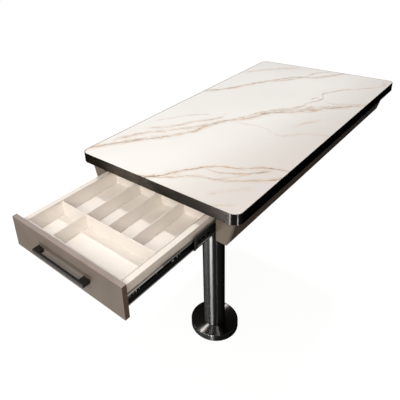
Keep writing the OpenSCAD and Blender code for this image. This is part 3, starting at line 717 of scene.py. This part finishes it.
def slot_ring(y, z, size, run_y=0.0, run_z=0.0):
    """Outline of a hole or slot in a web, given in millimetres, without doubled points."""
    half_y, half_z = (run_y + size) / 2, (run_z + size) / 2
    outline = rounded(y - half_y, y + half_y, z - half_z, z + half_z, size / 2, 6)
    points = [(along * MM, up * MM) for along, up in outline]
    clean = [points[0]]
    for point in points[1:]:
        if math.dist(point, clean[-1]) > 1e-6:
            clean.append(point)
    if math.dist(clean[0], clean[-1]) < 1e-6:
        clean.pop()
    return clean


def paint(bm, first, finish):
    """Gives a finish to the faces from this number on."""
    bm.faces.ensure_lookup_table()
    for face in bm.faces[first:]:
        face.material_index = finish


def slide_part(node, kind):
    """One rolled channel of a slide, in the CAD part's own place."""
    out, towards, high, bend, slots = CHANNELS[kind]
    low_box, high_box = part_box(node)
    hand = 1 if low_box.x > 0 else -1
    middle_z = low_box.z + high * MM
    y0, y1 = low_box.y, high_box.y

    def at(s, y, z):
        return hand * (box_side + out * MM + towards * s), y, middle_z + z

    def across(points, places):
        return [[at(s * MM, y, z * MM) for s, z in points] for y in places]

    bm = bmesh.new()
    for turn in (1, -1):
        lines = sections(kind, turn, high_box.x - low_box.x, high, bend, y0, y1)
        loft(bm, [[at(s, y, turn * z) for s, z in line] for y, line in lines])
    for face in bm.faces:
        middle = face.calc_center_median()
        face.material_index = flange_finish(kind, middle.z - middle_z, high, middle.y < y0 + BRIGHT_HIGHLIGHT_RUN)
    plates = []
    if kind == "middle":
        # The near lip and the ribs get the top edges' painted light. The ridge gets a painted highlight for
        # the light on the channel's lower bend.
        rim = [(-0.5, -high + 1), (0.2, -high + 0.3), (0.2, high - 0.3), (-0.5, high - 1)]
        plates.append((TOP_PAINTED_LIGHT, across(rim, [y0 + y for y in (0, 0.3 * MM, NEAR_LIP - 0.3 * MM, NEAR_LIP)])))
        ridge = [(-0.5, -high + 4.6), (0.3, -high + 3.6), (0.3, -high + 8.6), (-0.5, -high + 8.0)]
        plates.append((PAINTED_HIGHLIGHT, across(ridge, (y0 + RIDGE_IN, y1 - RIDGE_IN))))
        rib = [(-0.3, high - 2.8), (0.4, high - 2.8), (1.4, high - 0.2), (0.5, high - 0.2)]
        for i in range(round((y1 - y0) / RIB_PITCH) - 2):
            y = y0 + NEAR_LIP + i * RIB_PITCH
            plates.append((TOP_PAINTED_LIGHT, across(rib, (y, y + RIB_PITCH / 2))))
    if kind == "member":
        for finish, shape, depths in FITTINGS:
            outline = slot_ring(*shape)
            plates.append((finish, [[at(s * MM, y0 + y, z) for y, z in outline] for s in depths]))
    for finish, rings in plates:
        before = len(bm.faces)
        loft(bm, rings)
        paint(bm, before, finish)
    loops = ([], [])
    web = MEMBER_WEB if kind == "member" else FLANGE_FROM
    corners = [(y0, -web), (y1, -web), (y1, web), (y0, web)]
    before = len(bm.faces)
    for outline in [corners] + [[(y0 + y, z) for y, z in slot_ring(*slot)] for slot in slots]:
        walls = loft(bm, [[at(s, y, z) for y, z in outline] for s in (0, SHEET)], caps=False)
        for found, loop in zip(loops, walls):
            found.append(loop)
    # The drawer member's slot rims get the painted highlight finish.
    paint(bm, before, PAINTED_HIGHLIGHT if kind == "member" else PLAIN)
    before = len(bm.faces)
    for found in loops:
        fill(bm, found)
    paint(bm, before, PLAIN if kind == "member" else WEB)
    return bm


for side in ("left", "right"):
    middle_body = "slide_middle_" + side + "_body"
    for kind, body in (("member", "drawer"), ("middle", middle_body), ("cabinet", "table")):
        node = "slide_" + kind + "_" + side
        piece(node + "_channel", slide_part(node, kind), SLIDE_FINISHES, body, [node],
              sharp=40)

# Screws and balls, grown by Geometry Nodes


def node_group(name, inputs):
    """Empty geometry group with named inputs: group, its given values, and a function that closes it."""
    tree = bpy.data.node_groups.new(name, "GeometryNodeTree")
    for label, kind in inputs:
        tree.interface.new_socket(label, in_out="INPUT", socket_type="NodeSocket" + kind)
    tree.interface.new_socket("Result", in_out="OUTPUT", socket_type="NodeSocketGeometry")
    given = add(tree, "NodeGroupInput").outputs

    def close(instances, extra=None):
        last = add(tree, "GeometryNodeRealizeInstances", {0: instances})
        if extra is not None:
            last = add(tree, "GeometryNodeJoinGeometry", {0: last.outputs[0]})
            tree.links.new(extra, last.inputs[0])
        coated = add(tree, "GeometryNodeSetMaterial",
                     {"Geometry": last.outputs[0], "Material": given["Finish"]})
        add(tree, "NodeGroupOutput", {0: coated.outputs[0]})

    return tree, given, close


def joined(tree, parts):
    """Meshes of several nodes as one."""
    node = add(tree, "GeometryNodeJoinGeometry")
    for part in parts:
        tree.links.new(part, node.inputs[0])
    return node.outputs[0]


def lifted(tree, mesh, z):
    """The mesh moved along the screw's axis."""
    shift = add(tree, "ShaderNodeCombineXYZ", {2: z}).outputs[0]
    return add(tree, "GeometryNodeTransform", {"Geometry": mesh, "Translation": shift}).outputs[0]


def screw_group():
    """One cross-recessed countersunk screw with a pointed shank on every point, turned along its facing."""
    tree, given, close = node_group("screws", [("Places", "Geometry"), ("Head", "Float"), ("Shank", "Float"),
                                               ("Length", "Float"), ("Finish", "Material")])
    head_r = times(tree, given["Head"], 0.5)
    shank_r = times(tree, given["Shank"], 0.5)
    depth = sums(tree, "SUBTRACT", head_r, shank_r)
    cone = add(tree, "GeometryNodeMeshCone",
               {"Vertices": 32, "Radius Top": head_r, "Radius Bottom": shank_r, "Depth": depth}).outputs[0]
    cone = lifted(tree, cone, times(tree, depth, -1))
    arm = times(tree, given["Head"], 0.56)
    web = times(tree, given["Head"], 0.13)
    cut = times(tree, depth, 1.4)
    blades = []
    for x, y in ((arm, web), (web, arm)):
        size = add(tree, "ShaderNodeCombineXYZ", {0: x, 1: y, 2: cut}).outputs[0]
        blades.append(add(tree, "GeometryNodeMeshCube", {"Size": size}).outputs[0])
    cross = add(tree, "GeometryNodeMeshBoolean",
                {"Mesh 1": cone, "Mesh 2": joined(tree, blades), "Self Intersection": True},
                operation="DIFFERENCE", solver="EXACT").outputs[0]
    point = times(tree, given["Shank"], 1.2)
    ends = sums(tree, "ADD", point, times(tree, depth, 0.75))
    run = sums(tree, "SUBTRACT", given["Length"], ends)
    rod = add(tree, "GeometryNodeMeshCylinder", {"Vertices": 20, "Radius": shank_r, "Depth": run}).outputs[0]
    rod = lifted(tree, rod, sums(tree, "MULTIPLY_ADD", run, -0.5, times(tree, depth, -0.75)))
    tip = add(tree, "GeometryNodeMeshCone",
              {"Vertices": 20, "Radius Top": shank_r, "Radius Bottom": 0.0002, "Depth": point}).outputs[0]
    tip = lifted(tree, tip, times(tree, given["Length"], -1))
    facing = add(tree, "GeometryNodeInputNamedAttribute", {"Name": "facing"},
                 data_type="FLOAT_VECTOR").outputs[0]
    turn = add(tree, "FunctionNodeAlignRotationToVector", {"Vector": facing}, axis="Z").outputs[0]
    placed = add(tree, "GeometryNodeInstanceOnPoints",
                 {"Points": given["Places"], "Instance": joined(tree, [cross, rod, tip]), "Rotation": turn})
    close(placed.outputs[0])
    return tree


def cage_group():
    """Two rows of evenly spaced balls, added to the cage's own strips."""
    tree, given, close = node_group("balls", [("Strips", "Geometry"), ("Count", "Int"), ("First", "Vector"),
                                              ("Step", "Vector"), ("Row gap", "Vector"), ("Ball", "Float"),
                                              ("Finish", "Material")])
    row = add(tree, "GeometryNodeMeshLine", {"Count": given["Count"], "Start Location": given["First"],
                                             "Offset": given["Step"]}, mode="OFFSET").outputs[0]
    second = add(tree, "GeometryNodeTransform", {"Geometry": row, "Translation": given["Row gap"]}).outputs[0]
    radius = times(tree, given["Ball"], 0.5)
    ball = add(tree, "GeometryNodeMeshIcoSphere", {"Radius": radius, "Subdivisions": 3}).outputs[0]
    placed = add(tree, "GeometryNodeInstanceOnPoints",
                 {"Points": joined(tree, [row, second]), "Instance": ball})
    close(placed.outputs[0], given["Strips"])
    return tree


def grown(name, mesh, tree, values, body, stands_for):
    """Runs a geometry group on a mesh and keeps its result as a plain piece."""
    made = bpy.data.objects.new(name, mesh)
    scene.collection.objects.link(made)
    builder = made.modifiers.new("builder", "NODES")
    builder.node_group = tree
    for socket in tree.interface.items_tree:
        if socket.name in values:
            builder[socket.identifier] = values[socket.name]
    made.update_tag()
    whole = made.evaluated_get(bpy.context.evaluated_depsgraph_get())
    result = bpy.data.meshes.new_from_object(whole)
    made.modifiers.remove(builder)
    made.data = result
    result.shade_smooth()
    result.set_sharp_from_angle(angle=math.radians(35))
    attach(made, body)
    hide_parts(stands_for)
    return made


def screws_of(node):
    """Where the CAD model's screws are: middle of each head, its outward direction, and the common sizes."""
    bm = solid_of(node)
    left_over, found = set(bm.verts), []
    while left_over:
        group, stack = [], [left_over.pop()]
        while stack:
            vert = stack.pop()
            group.append(vert.co.copy())
            for edge in vert.link_edges:
                other = edge.other_vert(vert)
                if other in left_over:
                    left_over.remove(other)
                    stack.append(other)
        low = Vector([min(co[i] for co in group) for i in range(3)])
        high = Vector([max(co[i] for co in group) for i in range(3)])
        size = high - low
        axis = max(range(3), key=lambda i: size[i])
        wide = size[(axis + 1) % 3]
        ends = []
        for end in (low[axis], high[axis]):
            ring = [co for co in group if abs(co[axis] - end) < 1e-6]
            ends.append(max(co[(axis + 1) % 3] for co in ring) - min(co[(axis + 1) % 3] for co in ring))
        out = 1 if ends[1] > ends[0] else -1
        head = (low + high) / 2
        head[axis] = high[axis] if out > 0 else low[axis]
        facing = Vector((0, 0, 0))
        facing[axis] = out
        found.append((head, facing, wide, min(ends), size[axis]))
    bm.free()
    return sorted(found, key=lambda spot: tuple(round(value / MM) for value in spot[0]))


SCREWS = screw_group()
for node, body, finish in (("angle_screws", "table", ZINC), ("leg_head_screws", "table", ZINC),
                           ("slide_cabinet_screws", "table", BLACK_SCREW),
                           ("slide_member_screws", "drawer", BLACK_SCREW), ("front_screws", "drawer", ZINC),
                           ("handle_screws", "drawer", ZINC)):
    spots = screws_of(node)
    places = bpy.data.meshes.new(node + "_places")
    places.from_pydata([spot[0] for spot in spots], [], [])
    facings = places.attributes.new("facing", "FLOAT_VECTOR", "POINT")
    for i, spot in enumerate(spots):
        facings.data[i].vector = spot[1]
    head, shank, length = [max(spot[i] for spot in spots) for i in (2, 3, 4)]
    values = {"Head": head, "Shank": shank, "Length": length, "Finish": finish}
    grown(node + "_set", places, SCREWS, values, body, node)

CAGES = cage_group()
BALLS = 8
STRIP_HALF = 0.3 * MM
STRIP_CORNER = 1.5 * MM
for kind, ball in (("outer", 2.2 * MM), ("inner", 2.7 * MM)):
    for side in ("left", "right"):
        node = kind + "_cage_" + side
        low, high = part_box(node)
        strips = bmesh.new()
        for z in (low.z + ball / 2, high.z - ball / 2):
            loft(strips, [level_ring(low.x, high.x, low.y, high.y, 0, STRIP_CORNER, level)
                          for level in (z - STRIP_HALF, z + STRIP_HALF)])
        bmesh.ops.recalc_face_normals(strips, faces=strips.faces)
        strip_mesh = bpy.data.meshes.new(node + "_strips")
        strips.to_mesh(strip_mesh)
        strips.free()
        pitch = (high.y - low.y) / BALLS
        middle = (low + high) / 2
        values = {"Count": BALLS, "First": (middle.x, low.y + pitch / 2, low.z + ball / 2),
                  "Step": (0, pitch, 0), "Row gap": (0, 0, high.z - low.z - ball), "Ball": ball,
                  "Finish": CAGE_STEEL}
        grown(node + "_balls", strip_mesh, CAGES, values, node + "_body", node)

# CAD parts that keep their shape

KEPT = {
    CHIPS: ["top_core", "wall_batten", "bay_cheek_left", "bay_cheek_right", "bay_cross_rear", "middle_cross",
            "leg_rail"],
    WHITE_BOARD: ["drawer_bottom"],
    ZINC: ["angle_brackets", "tray_screw"],
    PLATE_STEEL: ["leg_head_plate", "floor_plate"],
}
for finish, names in KEPT.items():
    for name in names:
        nodes[name].data.materials.clear()
        nodes[name].data.materials.append(finish)

# Studio

scene.view_settings.view_transform = "Standard"

FLOOR_HALF = 30
floor_corners = [(x * FLOOR_HALF, y * FLOOR_HALF, 0) for x, y in ((-1, -1), (1, -1), (1, 1), (-1, 1))]
floor_mesh = bpy.data.meshes.new("floor")
floor_mesh.from_pydata(floor_corners, [], [(0, 1, 2, 3)])
floor = bpy.data.objects.new("floor", floor_mesh)
scene.collection.objects.link(floor)


def seen(tree):
    """1 for rays that show the background itself: camera, mirror and glass rays."""
    path = add(tree, "ShaderNodeLightPath").outputs
    first = sums(tree, "MAXIMUM", path["Is Camera Ray"], path["Is Glossy Ray"])
    return sums(tree, "MAXIMUM", first, path["Is Transmission Ray"])


# The floor shines almost white to rays that show it, keeps the object's shadow, and throws little light back
ground = bpy.data.materials.new("pale_floor")
tree = emptied(ground)
white = add(tree, "ShaderNodeEmission", {"Color": colour("#ffffff"), "Strength": 0.94})
lit = add(tree, "ShaderNodeBsdfDiffuse", {"Color": colour("#5c5c5c")})
bounce = add(tree, "ShaderNodeBsdfDiffuse", {"Color": colour("#606060")})
both = add(tree, "ShaderNodeAddShader", {0: white.outputs[0], 1: lit.outputs[0]})
mixed = add(tree, "ShaderNodeMixShader", {0: seen(tree), 1: bounce.outputs[0], 2: both.outputs[0]})
add(tree, "ShaderNodeOutputMaterial", {"Surface": mixed.outputs[0]})
floor_mesh.materials.append(ground)

SKY_LIGHT = 0.27
scene.world = bpy.data.worlds.new("studio")
tree = emptied(scene.world)
shown = seen(tree)
level = span(tree, shown, 0, 1, SKY_LIGHT, 1)
air = blend(tree, shown, colour("#fff0e2"), colour("#ffffff"))
sky = add(tree, "ShaderNodeBackground", {"Color": air, "Strength": level})
add(tree, "ShaderNodeOutputWorld", {"Surface": sky.outputs[0]})


def softbox(name, place, target, width, height, watts, only=None, tint="#ffffff", unshaded=False):
    """Area lamp that points at a target. Where a piece is named, it lights that one alone."""
    data = bpy.data.lights.new(name, "AREA")
    data.shape = "RECTANGLE"
    data.size = width
    data.size_y = height
    data.energy = watts
    data.color = colour(tint)[:3]
    lamp = bpy.data.objects.new(name, data)
    lamp.location = place
    aim = Vector(target) - Vector(place)
    lamp.rotation_euler = aim.to_track_quat("-Z", "Y").to_euler()
    scene.collection.objects.link(lamp)
    if only:
        lit = bpy.data.collections.new(name + "_piece")
        lit.objects.link(only)
        lamp.light_linking.receiver_collection = lit
        if unshaded:
            lamp.light_linking.blocker_collection = lit


def around(degrees, distance, height):
    """Place at this angle round the leg, from the drawer's side towards the right."""
    a = math.radians(degrees)
    return distance * math.sin(a), -distance * math.cos(a), height


key = bpy.data.lights.new("key", "SUN")
key.energy = 1.41
key.angle = math.radians(3.5)
key_lamp = bpy.data.objects.new("key", key)
key_lamp.rotation_euler = Vector((0.07, -0.5, -0.86)).to_track_quat("-Z", "Y").to_euler()
scene.collection.objects.link(key_lamp)

softbox("front_low", (-0.2, -1.5, 0.12), (0, -0.58, 0.68), 0.3, 0.2, 6.5)
softbox("front_high", (0.4, -2.3, 2.4), (0, -0.4, 0.7), 1.8, 1.2, 42, tint="#fffaf4")
softbox("right_high", (1.5, -1.6, 1.5), (0.1, -0.4, 0.7), 1.0, 0.8, 12, tint="#fff0e2")
softbox("tray_fill", (-0.36, -0.62, 1.05), (-0.16, -0.54, 0.7), 0.3, 0.3, 0.4, cutlery_tray)

# Lamps that draw the streaks on each black metal piece
LEG_MIDDLE = (0, 0, 0.65)
TOP_MIDDLE = (0, 0, 0.7)
COVER_MIDDLE = (0, 0, 0)
softbox("leg_streak", around(11, 1.2, 0.4), (0, 0, 0.45), 0.46, 1.2, 440, leg_column)
softbox("leg_glow", around(-47, 1.2, 0.65), LEG_MIDDLE, 1.6, 1.3, 150, leg_column)
softbox("leg_thin", around(61, 1.2, 0.65), (0.03, 0, 0.65), 0.07, 1.3, 12, leg_column)
softbox("band_corner", around(-6, 2.2, 0.6), TOP_MIDDLE, 0.45, 1.2, 650, edge_band)
softbox("band_glow", around(-28, 2.2, 0.6), TOP_MIDDLE, 1.1, 1.2, 160, edge_band, tint="#fff0e0")
softbox("band_left", around(-58, 2.2, 0.6), TOP_MIDDLE, 0.9, 1.2, 60, edge_band, tint="#fff0e0")
softbox("band_thin", around(61, 2.2, 0.6), (0.1, 0, 0.7), 0.14, 1.2, 230, edge_band)
softbox("skirt_streak", around(24, 2.2, 0.5), COVER_MIDDLE, 0.1, 0.8, 350, cover_skirt)
softbox("skirt_glow", around(-40, 2.2, 0.5), COVER_MIDDLE, 2.0, 0.8, 160, cover_skirt)
softbox("skirt_rim", around(-5, 1.6, 1.7), COVER_MIDDLE, 2.4, 0.3, 600, cover_skirt)
softbox("disc_wide", around(-34.4, 2.0, 2.24), COVER_MIDDLE, 0.06, 0.4, 8000, cover_disc, unshaded=True)
softbox("disc_line", around(14.6, 2.0, 2.07), COVER_MIDDLE, 0.03, 0.4, 1300, cover_disc, unshaded=True)
softbox("disc_thin", around(55.5, 2.0, 2.1), COVER_MIDDLE, 0.03, 0.4, 1600, cover_disc, unshaded=True)

# Camera at the photograph's viewing angle

AZIMUTH, ELEVATION, ROLL = [math.radians(angle) for angle in (44.306, 24.828, -4.298)]
PLACE = (0.72923, -1.01451, 1.37873)
back = Vector((math.sin(AZIMUTH) * math.cos(ELEVATION), -math.cos(AZIMUTH) * math.cos(ELEVATION),
               math.sin(ELEVATION)))
across = (-back).cross(Vector((0, 0, 1))).normalized()
up = across.cross(-back)
level_x = across * math.cos(ROLL) + up * math.sin(ROLL)
level_y = up * math.cos(ROLL) - across * math.sin(ROLL)
lens = bpy.data.cameras.new("camera")
lens.lens = 40.9635
lens.sensor_width = 36
lens.shift_x = 0.125
lens.shift_y = -0.175
camera = bpy.data.objects.new("camera", lens)
turn = Matrix((level_x, level_y, back)).transposed().to_4x4()
camera.matrix_world = Matrix.Translation(PLACE) @ turn
scene.collection.objects.link(camera)
scene.camera = camera
